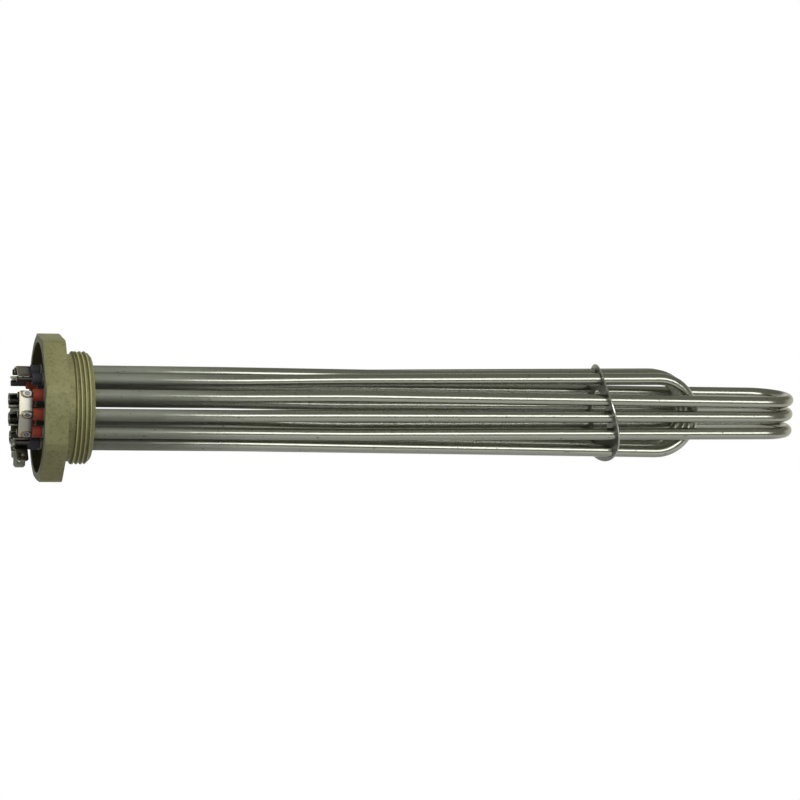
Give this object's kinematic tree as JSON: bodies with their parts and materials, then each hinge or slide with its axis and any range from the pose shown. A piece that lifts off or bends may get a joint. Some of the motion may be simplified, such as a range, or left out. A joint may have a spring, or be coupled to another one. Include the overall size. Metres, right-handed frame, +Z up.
{
  "type": "screw plug immersion heater",
  "caption": "Threaded brass plug with a recessed octagonal head carrying long and short U-bent tube heating elements, with a spacer plate across them and bridged blade terminals.",
  "frame": {"origin": "on the thread axis, in the plane of the head's sealing face", "axes": "+X along the thread axis from the head towards the bends of the elements, +Z up, -Y towards the star bridge of the long elements"},
  "size_m": [0.4302, 0.075, 0.075],
  "materials": {
    "plug_brass": "dull olive, machined",
    "sheath_steel": "drawn stainless",
    "plate_steel": "dull stamped stainless",
    "terminal_sheet": "plain sheet, satin",
    "pin_steel": "plain drawn",
    "bead_red": "matt red-brown",
    "bead_grey": "matt blue-grey",
    "magnesia": "pressed powder",
    "coil_wire": "oxidised wire"
  },
  "bodies": {
    "root": {"screw_plug": "plug_brass", "spacer_plate": "plate_steel", "long_star_bridge": "terminal_sheet", "short_star_bridge": "terminal_sheet", "long_upper_sheath": "sheath_steel", "long_upper_core": "magnesia", "long_upper_coil": "coil_wire", "long_upper_star_pin": "pin_steel", "long_upper_tab_pin": "pin_steel", "long_upper_star_bead": "bead_red", "long_upper_tab_bead": "bead_red", "long_upper_blade_tab": "terminal_sheet", "long_middle_sheath": "sheath_steel", "long_middle_core": "magnesia", "long_middle_coil": "coil_wire", "long_middle_star_pin": "pin_steel", "long_middle_tab_pin": "pin_steel", "long_middle_star_bead": "bead_red", "long_middle_tab_bead": "bead_red", "long_middle_blade_tab": "terminal_sheet", "long_lower_sheath": "sheath_steel", "long_lower_core": "magnesia", "long_lower_coil": "coil_wire", "long_lower_star_pin": "pin_steel", "long_lower_tab_pin": "pin_steel", "long_lower_star_bead": "bead_red", "long_lower_tab_bead": "bead_red", "long_lower_blade_tab": "terminal_sheet", "short_front_sheath": "sheath_steel", "short_front_core": "magnesia", "short_front_coil": "coil_wire", "short_front_star_pin": "pin_steel", "short_front_tab_pin": "pin_steel", "short_front_star_bead": "bead_grey", "short_front_tab_bead": "bead_grey", "short_front_blade_tab": "terminal_sheet", "short_middle_sheath": "sheath_steel", "short_middle_core": "magnesia", "short_middle_coil": "coil_wire", "short_middle_star_pin": "pin_steel", "short_middle_tab_pin": "pin_steel", "short_middle_star_bead": "bead_grey", "short_middle_tab_bead": "bead_grey", "short_middle_blade_tab": "terminal_sheet", "short_back_sheath": "sheath_steel", "short_back_core": "magnesia", "short_back_coil": "coil_wire", "short_back_star_pin": "pin_steel", "short_back_tab_pin": "pin_steel", "short_back_star_bead": "bead_grey", "short_back_tab_bead": "bead_grey", "short_back_blade_tab": "terminal_sheet"}
  },
  "joints": []
}
